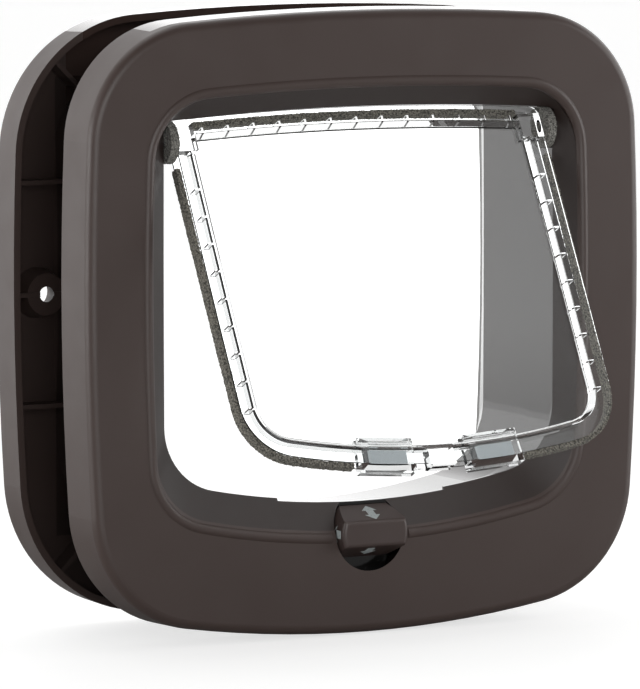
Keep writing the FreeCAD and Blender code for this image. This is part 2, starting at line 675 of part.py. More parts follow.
def lock_knob():
    back = RECESS_FLOOR_Y - KNOB_GAP
    section = Part.makePolygon([
        vec(-KNOB_RADIUS, KNOB_FRONT_Y, LOCK_Z - KNOB_FRONT_HALF_HEIGHT),
        vec(-KNOB_RADIUS, KNOB_FRONT_Y, LOCK_Z + KNOB_FRONT_HALF_HEIGHT),
        vec(-KNOB_RADIUS, back, LOCK_Z + KNOB_BACK_HALF_HEIGHT),
        vec(-KNOB_RADIUS, back, LOCK_Z - KNOB_BACK_HALF_HEIGHT),
        vec(-KNOB_RADIUS, KNOB_FRONT_Y, LOCK_Z - KNOB_FRONT_HALF_HEIGHT),
    ])
    wedge = Part.Face(section).extrude(vec(2 * KNOB_RADIUS, 0, 0))
    grip = wedge.common(rod_y(0, LOCK_Z, KNOB_FRONT_Y, back, KNOB_RADIUS))
    grip = round_edges(grip, KNOB_FRONT_Y, KNOB_EDGE_RADIUS)
    half = SQUARE_SIDE / 2
    socket = box(-half, half, SQUARE_FRONT_Y, back, LOCK_Z - half, LOCK_Z + half)
    screw_end = HOUSING_BACK_Y + SPINDLE_GAP + HUB_THICKNESS - KNOB_SCREW_LENGTH
    pilot = rod_y(0, LOCK_Z, screw_end, back, KNOB_SCREW_RADIUS)
    return grip.cut([socket, pilot])


# One fin of the cam: a sector that stands up behind the latch tab when it is turned to the top
def cam_fin(direction, y0, y1):
    blank = rod_y(0, LOCK_Z, y0, y1, CAM_RADIUS)
    reach = 2 * CAM_RADIUS
    spread = reach * math.tan(math.radians(CAM_HALF_ANGLE))
    centre = vec(0, y0, LOCK_Z)
    sector = Part.makePolygon([
        centre, vec(spread, y0, LOCK_Z + reach), vec(-spread, y0, LOCK_Z + reach), centre,
    ])
    wedge = Part.Face(sector).extrude(vec(0, y1 - y0, 0))
    wedge.rotate(centre, vec(0, 1, 0), direction)
    return blank.common(wedge)


def lock_spindle():
    back = RECESS_FLOOR_Y - KNOB_GAP
    hub_front = HOUSING_BACK_Y + SPINDLE_GAP
    hub_back = hub_front + HUB_THICKNESS
    half = SQUARE_SIDE / 2
    square = box(-half, half, SQUARE_FRONT_Y, back, LOCK_Z - half, LOCK_Z + half)
    shaft = rod_y(0, LOCK_Z, back, hub_front, SPINDLE_RADIUS)
    hub = rod_y(0, LOCK_Z, hub_front, hub_back, HUB_RADIUS)
    dimple_at = HUB_RADIUS + DIMPLE_RADIUS - DIMPLE_DEPTH
    for quarter in range(4):
        angle = math.radians(90 * quarter)
        x = dimple_at * math.sin(angle)
        z = LOCK_Z + dimple_at * math.cos(angle)
        hub = hub.cut(rod_y(x, z, hub_front + CAM_FIN_THICKNESS, hub_back, DIMPLE_RADIUS))
    fins = [cam_fin(turn, hub_front, hub_front + CAM_FIN_THICKNESS) for turn in (90, 180)]
    solid = joined([square, shaft, hub] + fins)
    screw_way = KNOB_SCREW_RADIUS + SPINDLE_CLEARANCE
    return solid.cut(rod_y(0, LOCK_Z, SQUARE_FRONT_Y - 1, hub_back + 1, screw_way))


def pan_screw(x, z, seat_y, length, radius, head_radius, head_height):
    shank = rod_y(x, z, seat_y - length, seat_y, radius)
    head = rod_y(x, z, seat_y, seat_y + head_height, head_radius)
    head = round_edges(head, seat_y + head_height, head_height * 0.45)
    slot_half = head_radius * 0.62
    blade = head_radius * 0.14
    top = seat_y + head_height
    cross = [
        box(x - slot_half, x + slot_half, top - head_height / 2, top + 1, z - blade, z + blade),
        box(x - blade, x + blade, top - head_height / 2, top + 1, z - slot_half, z + slot_half),
    ]
    return shank.fuse(head.cut(cross)).removeSplitter()


def knob_screw():
    seat = HOUSING_BACK_Y + SPINDLE_GAP + HUB_THICKNESS
    return pan_screw(
        0, LOCK_Z, seat, KNOB_SCREW_LENGTH,
        KNOB_SCREW_RADIUS, KNOB_SCREW_HEAD_RADIUS, KNOB_SCREW_HEAD_HEIGHT,
    )


def housing_screws():
    length = HOUSING_BACK_Y - HOUSING_FRONT_Y + HOUSING_SCREW_BITE
    screw = pan_screw(
        HOUSING_SCREW_X, HOUSING_SCREW_Z, HOUSING_BACK_Y, length,
        HOUSING_SCREW_RADIUS, HOUSING_SCREW_HEAD_RADIUS, HOUSING_SCREW_HEAD_HEIGHT,
    )
    return Part.makeCompound(both_sides(screw))


def sill_magnet():
    half = MAGNET_LENGTH / 2
    middle_y = (HOUSING_FRONT_Y + HOUSING_BACK_Y) / 2
    top = DECK_TOP - DECK_SKIN - MAGNET_POCKET_CLEARANCE
    return box(
        MAGNET_X - half, MAGNET_X + half, middle_y - MAGNET_WIDTH / 2, middle_y + MAGNET_WIDTH / 2,
        top - MAGNET_HEIGHT, top,
    )


def lock_housing():
    block = box(
        -HOUSING_HALF_WIDTH, HOUSING_HALF_WIDTH, HOUSING_FRONT_Y, HOUSING_BACK_Y, HOUSING_BOTTOM, DECK_TOP
    )
    at_bottom = [e for e in block.Edges if e.BoundBox.ZMax < HOUSING_BOTTOM + 0.01]
    corners = [e for e in at_bottom if e.BoundBox.YLength > 1]
    block = block.makeFillet(HOUSING_CORNER_RADIUS, corners)
    post_end = HOUSING_BACK_Y + SPINDLE_GAP + HUB_THICKNESS
    posts = both_sides(rod_y(LEAF_HALF_LENGTH, leaf_z(), HOUSING_BACK_Y - 1, post_end, LEAF_POST_RADIUS))
    solid = joined([block] + posts)
    bounds = sill_magnet().BoundBox
    gap = MAGNET_POCKET_CLEARANCE
    # The magnets are pushed in from the front, where the sill then shuts them in
    pocket = box(
        bounds.XMin - gap, bounds.XMax + gap, HOUSING_FRONT_Y - 1, bounds.YMax + gap,
        bounds.ZMin - gap, bounds.ZMax + gap,
    )
    front = HOUSING_FRONT_Y - 1
    back = HOUSING_BACK_Y + 1
    bore = rod_y(0, LOCK_Z, front, back, SPINDLE_RADIUS + SPINDLE_CLEARANCE)
    screws = housing_bosses(front, back, HOUSING_SCREW_RADIUS + SPINDLE_CLEARANCE)
    slot_x = LEAF_HALF_LENGTH + BEYOND / 2
    slot_y = LEAF_WIDTH / 2 + SPINDLE_CLEARANCE
    slot_z = LEAF_THICKNESS / 2 + SPINDLE_CLEARANCE
    slot = box(-slot_x, slot_x, leaf_y() - slot_y, leaf_y() + slot_y, leaf_z() - slot_z, leaf_z() + slot_z)
    return solid.cut(both_sides(pocket) + [bore, slot] + screws)


# Leaf spring that clicks into the four dimples of the hub
def leaf_y():
    return HOUSING_BACK_Y + SPINDLE_GAP + HUB_THICKNESS - LEAF_WIDTH / 2 - SPINDLE_CLEARANCE


def leaf_z():
    return LOCK_Z - HUB_RADIUS - LEAF_GAP - LEAF_BUMP_RADIUS


def detent_spring():
    y0 = leaf_y() - LEAF_WIDTH / 2
    y1 = leaf_y() + LEAF_WIDTH / 2
    half = LEAF_THICKNESS / 2
    strip = box(-LEAF_HALF_LENGTH, LEAF_HALF_LENGTH, y0, y1, leaf_z() - half, leaf_z() + half)
    bump = rod_y(0, leaf_z(), y0, y1, LEAF_BUMP_RADIUS)
    hollow = rod_y(0, leaf_z(), y0, y1, LEAF_BUMP_RADIUS - LEAF_THICKNESS)
    below = box(-LEAF_BUMP_RADIUS, LEAF_BUMP_RADIUS, y0, y1, leaf_z() - 2 * LEAF_BUMP_RADIUS, leaf_z())
    return strip.fuse(bump).cut([hollow, below.cut(strip)]).removeSplitter()


def all_parts():
    flap_side = {
        "side_pile": side_pile(),
        "pivot_disc": pivot_disc(),
        "flap_magnet": flap_magnet(),
        "magnet_clip": magnet_clip(),
    }
    parts = {
        "front_frame": front_frame(),
        "rear_frame": rear_frame(),
        "flap_panel": flap_panel(),
        "top_pile": top_pile(),
        "lock_housing": lock_housing(),
        "lock_knob": lock_knob(),
        "lock_spindle": lock_spindle(),
        "knob_screw": knob_screw(),
        "housing_screws": housing_screws(),
        "detent_spring": detent_spring(),
        "sill_magnet_right": sill_magnet(),
        "sill_magnet_left": mirrored(sill_magnet()),
    }
    for name, shape in flap_side.items():
        parts[name + "_right"] = swung(shape)
        parts[name + "_left"] = swung(mirrored(shape))
    return parts


os.makedirs("parts", exist_ok=True)
for node, shape in all_parts().items():
    shape.exportStep("parts/" + node + ".step")
    print(node, len(shape.Solids), "solids, valid", shape.isValid(), round(shape.Volume / 1000, 2), "cm3")
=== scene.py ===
import bpy
import math
from mathutils import Matrix, Vector


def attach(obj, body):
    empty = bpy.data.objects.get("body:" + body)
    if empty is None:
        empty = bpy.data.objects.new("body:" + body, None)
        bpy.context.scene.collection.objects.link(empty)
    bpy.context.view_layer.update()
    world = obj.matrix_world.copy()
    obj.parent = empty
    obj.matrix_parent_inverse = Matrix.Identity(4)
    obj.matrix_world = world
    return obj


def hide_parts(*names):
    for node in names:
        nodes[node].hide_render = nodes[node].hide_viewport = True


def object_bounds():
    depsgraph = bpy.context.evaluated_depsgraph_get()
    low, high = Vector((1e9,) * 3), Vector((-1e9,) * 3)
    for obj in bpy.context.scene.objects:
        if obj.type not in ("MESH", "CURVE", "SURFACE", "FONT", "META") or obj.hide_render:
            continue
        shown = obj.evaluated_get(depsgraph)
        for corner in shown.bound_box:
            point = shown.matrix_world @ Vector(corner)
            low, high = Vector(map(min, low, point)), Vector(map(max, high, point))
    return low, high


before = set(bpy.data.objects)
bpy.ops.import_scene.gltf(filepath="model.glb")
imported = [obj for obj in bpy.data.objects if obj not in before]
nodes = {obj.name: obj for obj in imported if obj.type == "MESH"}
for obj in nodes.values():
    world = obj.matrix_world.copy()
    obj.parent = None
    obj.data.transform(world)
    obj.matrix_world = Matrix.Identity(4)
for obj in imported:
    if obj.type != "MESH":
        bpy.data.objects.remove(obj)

# The looks of a moulded cat flap for a door: brown ABS frames, a clear polycarbonate flap
# edged with draught pile, and a rotary lock knob. Metres, X right, Y into the door, Z up.

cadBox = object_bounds()
mm = 0.001


# sRGB hex to linear colour
def hexColour(text, alpha=1.0):
    channels = [int(text[i:i + 2], 16) / 255 for i in (0, 2, 4)]
    linear = [c / 12.92 if c <= 0.04045 else ((c + 0.055) / 1.055) ** 2.4 for c in channels]
    return (*linear, alpha)


# adds one node with its settings; an input is a value or the socket that feeds it
def addNode(owner, kind, inputs=None, **settings):
    node = owner.node_tree.nodes.new("ShaderNode" + kind)
    for name, value in settings.items():
        setattr(node, name, value)
    for name, value in (inputs or {}).items():
        if isinstance(value, bpy.types.NodeSocket):
            owner.node_tree.links.new(value, node.inputs[name])
        else:
            node.inputs[name].default_value = value
    return node


# a new material; returns it with its shader and the object coordinates
def newMaterial(name, **values):
    material = bpy.data.materials.new(name)
    material.use_nodes = True
    shader = material.node_tree.nodes["Principled BSDF"]
    for socket, value in values.items():
        shader.inputs[socket.replace("_", " ")].default_value = value
    place = addNode(material, "TexCoord").outputs["Object"]
    return material, shader, place


def link(owner, source, target):
    owner.node_tree.links.new(source, target)


# mixes two colours by a socket and returns the mixed colour
def mixTones(material, factor, first, second):
    mixed = addNode(material, "Mix", data_type="RGBA")
    link(material, factor, mixed.inputs[0])
    for slot, tone in ((6, first), (7, second)):
        if isinstance(tone, bpy.types.NodeSocket):
            link(material, tone, mixed.inputs[slot])
        else:
            mixed.inputs[slot].default_value = hexColour(tone)
    return mixed.outputs[2]


grainStrength = 0.35


# injection-moulded ABS: satin, its spark-eroded grain spreads the highlights, and faint flow
# marks make the tone and the gloss drift over a few centimetres
def mouldedAbs(name, darkTone, lightTone, look):
    material, shader, place = newMaterial(name, IOR=1.53)
    flow = addNode(material, "TexNoise", {"Vector": place, "Scale": 1 / (45 * mm), "Detail": 2.0})
    tone = mixTones(material, flow.outputs["Fac"], darkTone, lightTone)
    link(material, tone, shader.inputs["Base Color"])
    smudge = addNode(material, "TexNoise", {"Vector": place, "Scale": 1 / (14 * mm), "Detail": 5.0})
    gloss = addNode(material, "MapRange", {
        "Value": smudge.outputs["Fac"], "From Min": 0.3, "From Max": 0.7,
        "To Min": look["roughness"] - 0.03, "To Max": look["roughness"] + 0.04,
    })
    link(material, gloss.outputs["Result"], shader.inputs["Roughness"])
    grain = addNode(material, "TexNoise", {"Vector": place, "Scale": 1 / look["grainSize"], "Detail": 2.0})
    bump = addNode(material, "Bump", {
        "Height": grain.outputs["Fac"], "Strength": grainStrength, "Distance": look["grainDepth"],
    })
    link(material, bump.outputs["Normal"], shader.inputs["Normal"])
    return material, shader, place


# clear polycarbonate: polished, with the faint ripple of a moulding that cooled
def clearPolycarbonate(name, tint, look):
    material, shader, place = newMaterial(name, Roughness=look["roughness"], IOR=look["ior"])
    shader.inputs["Base Color"].default_value = hexColour(tint)
    shader.inputs["Transmission Weight"].default_value = 1.0
    ripple = addNode(material, "TexNoise", {"Vector": place, "Scale": 1 / (9 * mm), "Detail": 1.0})
    bump = addNode(material, "Bump", {
        "Height": ripple.outputs["Fac"], "Strength": 0.15, "Distance": 0.05 * mm,
    })
    link(material, bump.outputs["Normal"], shader.inputs["Normal"])
    return material


# woven pile: polypropylene tufts on a dark tape, so it reads as speckled, dull and soft
def wovenPile(name, backTone, tuftTone, tuftPitch):
    material, shader, place = newMaterial(name, Roughness=0.95, IOR=1.49)
    shader.inputs["Sheen Weight"].default_value = 0.2
    shader.inputs["Sheen Roughness"].default_value = 0.5
    tufts = addNode(material, "TexVoronoi", {"Vector": place, "Scale": 1 / tuftPitch})
    speck = addNode(material, "TexNoise", {"Vector": place, "Scale": 1 / (0.5 * mm), "Detail": 3.0})
    height = addNode(material, "Math", {
        0: tufts.outputs["Distance"], 1: speck.outputs["Fac"],
    }, operation="MULTIPLY")
    shade = addNode(material, "MapRange", {"Value": height.outputs[0], "From Min": 0.05, "From Max": 0.4})
    tone = mixTones(material, shade.outputs["Result"], tuftTone, backTone)
    link(material, tone, shader.inputs["Base Color"])
    bump = addNode(material, "Bump", {
        "Height": height.outputs[0], "Strength": 0.8, "Distance": 0.3 * mm,
    }, invert=True)
    link(material, bump.outputs["Normal"], shader.inputs["Normal"])
    return material


groundFacing = (0, -0.88, 0.474)  # square to the flap, which stands open


# sintered ferrite: its ground faces are dull grey and slightly grainy; its sides are painted dark, a
# painted shade for the gap shadow round each magnet
def sinteredFerrite(name, tone, spotTone, paintedSideShade):
    material, shader, place = newMaterial(name, Roughness=0.42, IOR=1.6)
    grain = addNode(material, "TexNoise", {"Vector": place, "Scale": 1 / (0.9 * mm), "Detail": 4.0})
    facing = addNode(material, "TexCoord").outputs["Normal"]
    ground = addNode(material, "VectorMath", {0: facing, 1: groundFacing}, operation="DOT_PRODUCT")
    size = addNode(material, "Math", {0: ground.outputs["Value"]}, operation="ABSOLUTE")
    isSide = addNode(material, "Math", {0: size.outputs[0], 1: 0.85}, operation="LESS_THAN")
    groundTone = mixTones(material, grain.outputs["Fac"], tone, spotTone)
    shownTone = mixTones(material, isSide.outputs[0], groundTone, paintedSideShade)
    link(material, shownTone, shader.inputs["Base Color"])
    return material


# bright steel, zinc-plated or rolled: it mirrors, and fine marks break the mirror up
def zincSteel(name, tone, roughness):
    material, shader, place = newMaterial(name, Roughness=roughness, Metallic=1.0)
    shader.inputs["Base Color"].default_value = hexColour(tone)
    marks = addNode(material, "TexNoise", {"Vector": place, "Scale": 1 / (0.3 * mm), "Detail": 2.0})
    bump = addNode(material, "Bump", {
        "Height": marks.outputs["Fac"], "Strength": 0.3, "Distance": 0.01 * mm,
    })
    link(material, bump.outputs["Normal"], shader.inputs["Normal"])
    return material


# pad-printed ink: thin and matt, and a little greyer in the spots where it is worn
def padPrint(name, inkTone, wornTone):
    material, shader, place = newMaterial(name, Roughness=0.55, IOR=1.5)
    wear = addNode(material, "TexNoise", {"Vector": place, "Scale": 1 / (0.8 * mm), "Detail": 4.0})
    worn = addNode(material, "MapRange", {"Value": wear.outputs["Fac"], "From Min": 0.55, "From Max": 0.8})
    tone = mixTones(material, worn.outputs["Result"], inkTone, wornTone)
    link(material, tone, shader.inputs["Base Color"])
    return material


absLook = {"roughness": 0.42, "grainSize": 0.55 * mm, "grainDepth": 0.02 * mm}
knobLook = {"roughness": 0.38, "grainSize": 0.4 * mm, "grainDepth": 0.01 * mm}
# the lock's tone is painted shade, the nearly black colour of the inside of its recess
lock = {
    "z": -84 * mm, "faceY": -20 * mm, "floorY": -13.5 * mm, "recessRadius": 13.9 * mm,
    "tone": "040302", "roughness": 0.15,
}
# the zone's tone is painted shade inside the opening
openingShadeZone = {
    "halfWidth": 88.4 * mm, "bottom": -88 * mm, "top": 77 * mm, "start": -18.9 * mm, "end": 54.2 * mm,
    "tone": "2b211e",
}
passage = {"halfWidth": 84 * mm, "bottom": -80 * mm, "start": -12.8 * mm, "roughness": 0.14, "coat": 0.6}

brownAbs, brownShader, brownPlace = mouldedAbs("brownAbs", "40332f", "453834", absLook)
knobAbs = mouldedAbs("knobAbs", "433734", "483c39", knobLook)[0]
blackNylon = mouldedAbs("blackNylon", "2b2725", "322d2b", absLook)[0]

split = addNode(brownAbs, "SeparateXYZ", {"Vector": brownPlace})

# painted shade: the funnel and the passage inside the opening are coloured a deeper brown, standing in for
# the shade that falls in them
across = addNode(brownAbs, "Math", {0: split.outputs["X"]}, operation="ABSOLUTE")
zoneTests = [
    (across.outputs[0], "LESS_THAN", openingShadeZone["halfWidth"]),
    (split.outputs["Z"], "GREATER_THAN", openingShadeZone["bottom"]),
    (split.outputs["Z"], "LESS_THAN", openingShadeZone["top"]),
    (split.outputs["Y"], "GREATER_THAN", openingShadeZone["start"]),
    (split.outputs["Y"], "LESS_THAN", openingShadeZone["end"]),
]
inZone = None
for value, test, limit in zoneTests:
    passed = addNode(brownAbs, "Math", {0: value, 1: limit}, operation=test).outputs[0]
    if inZone is None:
        inZone = passed
    else:
        inZone = addNode(brownAbs, "Math", {0: inZone, 1: passed}, operation="MULTIPLY").outputs[0]
facedTone = brownShader.inputs["Base Color"].links[0].from_socket
link(brownAbs, mixTones(brownAbs, inZone, facedTone, openingShadeZone["tone"]), brownShader.inputs["Base Color"])

# the passage is polished where the face is grained, so it mirrors the white behind it
between = addNode(brownAbs, "Math", {0: across.outputs[0], 1: passage["halfWidth"]}, operation="LESS_THAN")
above = addNode(brownAbs, "Math", {0: split.outputs["Z"], 1: passage["bottom"]}, operation="GREATER_THAN")
behind = addNode(brownAbs, "Math", {0: split.outputs["Y"], 1: passage["start"]}, operation="GREATER_THAN")
within = addNode(brownAbs, "Math", {0: between.outputs[0], 1: above.outputs[0]}, operation="MULTIPLY")
polished = addNode(brownAbs, "Math", {0: within.outputs[0], 1: behind.outputs[0]}, operation="MULTIPLY")
grainGloss = brownShader.inputs["Roughness"].links[0].from_socket
passageGloss = addNode(brownAbs, "MapRange", {
    "Value": polished.outputs[0], "To Min": grainGloss, "To Max": passage["roughness"],
})
link(brownAbs, passageGloss.outputs["Result"], brownShader.inputs["Roughness"])
sheen = addNode(brownAbs, "Math", {0: polished.outputs[0], 1: passage["coat"]}, operation="MULTIPLY")
link(brownAbs, sheen.outputs[0], brownShader.inputs["Coat Weight"])
grainBump = brownShader.inputs["Normal"].links[0].from_node
grainFade = addNode(brownAbs, "MapRange", {
    "Value": polished.outputs[0], "To Min": grainStrength, "To Max": 0.0,
})
link(brownAbs, grainFade.outputs["Result"], grainBump.inputs["Strength"])

# painted shade: the inside of the lock recess is coloured nearly black and made glossy, standing in for the
# deep shade in it
fromAxis = addNode(brownAbs, "CombineXYZ", {"X": split.outputs["X"], "Z": split.outputs["Z"]})
axisPlace = (0, 0, lock["z"])
radial = addNode(brownAbs, "VectorMath", {0: fromAxis.outputs[0], 1: axisPlace}, operation="DISTANCE")
wallReach = lock["recessRadius"] + 0.05 * mm
inRadius = addNode(brownAbs, "Math", {0: radial.outputs["Value"], 1: wallReach}, operation="LESS_THAN")
rimDepth = lock["faceY"] + 0.3 * mm
inDepth = addNode(brownAbs, "Math", {0: split.outputs["Y"], 1: rimDepth}, operation="GREATER_THAN")
inFront = addNode(brownAbs, "Math", {0: split.outputs["Y"], 1: lock["floorY"]}, operation="LESS_THAN")
inCup = addNode(brownAbs, "Math", {0: inDepth.outputs[0], 1: inFront.outputs[0]}, operation="MULTIPLY")
inRecess = addNode(brownAbs, "Math", {0: inRadius.outputs[0], 1: inCup.outputs[0]}, operation="MULTIPLY")
brownTone = brownShader.inputs["Base Color"].links[0].from_socket
paintedRecessShade = mixTones(brownAbs, inRecess.outputs[0], brownTone, lock["tone"])
link(brownAbs, paintedRecessShade, brownShader.inputs["Base Color"])
outerGloss = brownShader.inputs["Roughness"].links[0].from_socket
recessGloss = addNode(brownAbs, "MapRange", {
    "Value": inRecess.outputs[0], "To Min": outerGloss, "To Max": lock["roughness"],
})
link(brownAbs, recessGloss.outputs["Result"], brownShader.inputs["Roughness"])

# the real index is 1.58, and lower ones keep the thin ribs and the clips as pale as they look
clearPlastic = clearPolycarbonate("clearPolycarbonate", "fdfefe", {"roughness": 0.0, "ior": 1.4})
clipPlastic = clearPolycarbonate("clipPolycarbonate", "fdfefe", {"roughness": 0.0, "ior": 1.28})
greyPile = wovenPile("greyPile", "35332f", "938f84", 0.7 * mm)
discPile = wovenPile("discPile", "45443f", "9a9892", 0.6 * mm)
# the ferrite's last tone is painted shade on the magnets' sides
ferrite = sinteredFerrite("ferrite", "abb3b7", "9ba3a7", "24282a")
zincPlate = zincSteel("zincPlate", "b9babc", 0.32)
springSteel = zincSteel("springSteel", "c4c2bd", 0.22)
arrowInk = padPrint("arrowInk", "b4bcbc", "7d7f7c")

nodeFinish = {
    "front_frame": brownAbs,
    "rear_frame": brownAbs,
    "lock_housing": brownAbs,
    "lock_knob": knobAbs,
    "lock_spindle": blackNylon,
    "flap_panel": clearPlastic,
    "magnet_clip_left": clipPlastic,
    "magnet_clip_right": clipPlastic,
    "top_pile": greyPile,
    "side_pile_left": greyPile,
    "side_pile_right": greyPile,
    "pivot_disc_left": discPile,
    "pivot_disc_right": discPile,
    "flap_magnet_left": ferrite,
    "flap_magnet_right": ferrite,
    "sill_magnet_left": ferrite,
    "sill_magnet_right": ferrite,
    "detent_spring": springSteel,
    "housing_screws": zincPlate,
    "knob_screw": zincPlate,
}
for nodeName, finish in nodeFinish.items():
    nodes[nodeName].data.materials.clear()
    nodes[nodeName].data.materials.append(finish)

# clear plastic lets the light straight through to the pile and magnets behind it
for nodeName in ("flap_panel", "magnet_clip_left", "magnet_clip_right"):
    nodes[nodeName].visible_shadow = False
    nodes[nodeName].visible_diffuse = False
print("materials: done")


# makes one object the only selected and active one
def pick(piece):
    bpy.ops.object.select_all(action="DESELECT")
    piece.select_set(True)
    bpy.context.view_layer.objects.active = piece


weldGap = {"copy": 0.002 * mm, "curve": 0.001 * mm}


def addPiece(name, mesh, finish):
    piece = bpy.data.objects.new(name, mesh)
    bpy.context.scene.collection.objects.link(piece)
    mesh.materials.clear()
    mesh.materials.append(finish)
    return piece


# merges doubled points in edit mode, and turns the faces of a new shape outwards
def weld(piece, gap, turnFaces):
    pick(piece)
    bpy.ops.object.mode_set(mode="EDIT")
    bpy.ops.mesh.select_all(action="SELECT")
    bpy.ops.mesh.remove_doubles(threshold=gap)
    if turnFaces:
        bpy.ops.mesh.normals_make_consistent(inside=False)
    bpy.ops.object.mode_set(mode="OBJECT")


# a merged copy of a CAD node's mesh, as a new piece
def copyNode(nodeName, name, finish):
    piece = addPiece(name, nodes[nodeName].data.copy(), finish)
    weld(piece, weldGap["copy"], False)
    return piece


# a curve through points, with its settings, made a mesh
def meshFromCurve(name, points, closed, **settings):
    data = bpy.data.curves.new(name, "CURVE")
    for setting, value in settings.items():
        setattr(data, setting, value)
    spline = data.splines.new("POLY")
    spline.points.add(len(points) - 1)
    for point, place in zip(spline.points, points):
        point.co = (*place, 1)
    spline.use_cyclic_u = closed
    piece = bpy.data.objects.new(name, data)
    bpy.context.scene.collection.objects.link(piece)
    pick(piece)
    bpy.ops.object.convert(target="MESH")
    return piece


def applyAll(piece):
    pick(piece)
    for modifier in list(piece.modifiers):
        bpy.ops.object.modifier_apply(modifier=modifier.name)


# the rounded bead round the opening: a half-sunk rod that ends on both sides of the lock recess
beadLook = {
    "halfWidth": 87.5 * mm, "top": 75.8 * mm, "bottom": -85 * mm, "widest": 5 * mm,
    "sideBow": 1200 * mm, "topBow": 975 * mm, "bottomBow": 320 * mm, "corner": 24 * mm,
    "outset": 1.0 * mm, "radius": 2.4 * mm, "sink": 1.75 * mm, "endX": 15.6 * mm, "stepLength": 3 * mm,
    "roundness": 5, "smoothAngle": 50,
}


# where two circles cross, the upper or the lower of the two places
def crossing(firstCentre, firstRadius, secondCentre, secondRadius, upward):
    between = secondCentre - firstCentre
    along = (between.length_squared + firstRadius ** 2 - secondRadius ** 2) / (2 * between.length)
    across = math.sqrt(firstRadius ** 2 - along ** 2)
    unit = between.normalized()
    found = [firstCentre + unit * along + Vector((-unit.y, unit.x)) * across * side for side in (1, -1)]
    return max(found, key=lambda p: p.y if upward else -p.y)


# points along an arc from one place to another, the short way round
def arcPoints(centre, start, end, step):
    first = math.atan2(start.y - centre.y, start.x - centre.x)
    last = math.atan2(end.y - centre.y, end.x - centre.x)
    sweep = (last - first + math.pi) % (2 * math.pi) - math.pi
    radius = (start - centre).length
    count = max(2, round(abs(sweep) * radius / step))
    return [
        centre + Vector((math.cos(first + sweep * i / count), math.sin(first + sweep * i / count))) * radius
        for i in range(count + 1)
    ]


# the right half of a bowed, round-cornered outline, from the bottom up to the middle of the top
def halfOutline(look):
    grow = look["outset"]
    side = Vector((look["halfWidth"] - look["sideBow"], look["widest"]))
    top = Vector((0, look["top"] - look["topBow"]))
    bottom = Vector((0, look["bottom"] + look["bottomBow"]))
    inset = look["corner"]
    upper = crossing(side, look["sideBow"] - inset, top, look["topBow"] - inset, True)
    lower = crossing(side, look["sideBow"] - inset, bottom, look["bottomBow"] - inset, False)
    sideReach, topReach, bottomReach = [look[name] + grow for name in ("sideBow", "topBow", "bottomBow")]
    start = Vector((look["endX"], bottom.y - math.sqrt(bottomReach ** 2 - look["endX"] ** 2)))
    bottomEnd = bottom + (lower - bottom).normalized() * bottomReach
    sideStart = side + (lower - side).normalized() * sideReach
    sideEnd = side + (upper - side).normalized() * sideReach
    topStart = top + (upper - top).normalized() * topReach
    marks = [
        (bottom, start, bottomEnd),
        (lower, bottomEnd, sideStart),
        (side, sideStart, sideEnd),
        (upper, sideEnd, topStart),
        (top, topStart, Vector((0, look["top"] + grow))),
    ]
    points = []
    for centre, begin, end in marks:
        run = arcPoints(centre, begin, end, look["stepLength"])
        points += run if not points else run[1:]
    return points


def addOpeningBead():
    right = halfOutline(beadLook)
    path = right + [Vector((-p.x, p.y)) for p in reversed(right[:-1])]
    depth = lock["faceY"] + beadLook["sink"]
    bead = meshFromCurve(
        "opening_bead", [(p.x, depth, p.y) for p in path], False,
        dimensions="3D", bevel_depth=beadLook["radius"], bevel_resolution=beadLook["roundness"],
        use_fill_caps=True,
    )
    weld(bead, weldGap["curve"], True)
    bpy.ops.object.shade_smooth_by_angle(angle=math.radians(beadLook["smoothAngle"]))
    bead.data.materials.clear()
    bead.data.materials.append(brownAbs)
    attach(bead, "frame")
    print("bead: done")


addOpeningBead()


# pile as tufts: a strip's form is broken into cells that stand well under a millimetre apart
pileLook = {"voxel": 0.3 * mm, "tuftSize": 0.6 * mm, "tuftDepth": 0.5 * mm}
tuftTexture = bpy.data.textures.new("tufts", "VORONOI")
tuftTexture.noise_scale = pileLook["tuftSize"]


def tuft(piece, nodeName):
    block = piece.modifiers.new("block", "REMESH")
    block.mode = "VOXEL"
    block.voxel_size = pileLook["voxel"]
    tufts = piece.modifiers.new("tufts", "DISPLACE")
    tufts.texture = tuftTexture
    tufts.texture_coords = "LOCAL"
    tufts.mid_level = 0.0
    tufts.strength = -pileLook["tuftDepth"]
    applyAll(piece)
    bpy.ops.object.shade_flat()
    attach(piece, "flap")
    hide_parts(nodeName)
    print("pile:", piece.name, len(piece.data.polygons), "faces")


tuft(copyNode("top_pile", "top_pile_tufts", greyPile), "top_pile")
tuft(copyNode("pivot_disc_left", "pivot_disc_tufts_left", discPile), "pivot_disc_left")
tuft(copyNode("pivot_disc_right", "pivot_disc_tufts_right", discPile), "pivot_disc_right")

# the side strips lie along the flap's edge, from below the pivot round the corner to the clip
flapLook = {
    "halfWidth": 74.5 * mm, "top": 9.6 * mm, "bottom": -127 * mm, "widest": 0,
    "sideBow": 9000 * mm, "topBow": 1000 * mm, "bottomBow": 292.5 * mm, "corner": 20 * mm,
    "outset": 0.6 * mm, "endX": 34.5 * mm, "stepLength": 3 * mm,
    "pivot": (0, -10 * mm, 57 * mm), "openAngle": 28.3, "pileStart": -10.5 * mm,
    "pileThickness": 2.4 * mm, "pileFront": -1.7 * mm, "pileBack": 2.1 * mm,
}
openTurn = Matrix.Rotation(-math.radians(flapLook["openAngle"]), 4, "X")
swung = Matrix.Translation(flapLook["pivot"]) @ openTurn


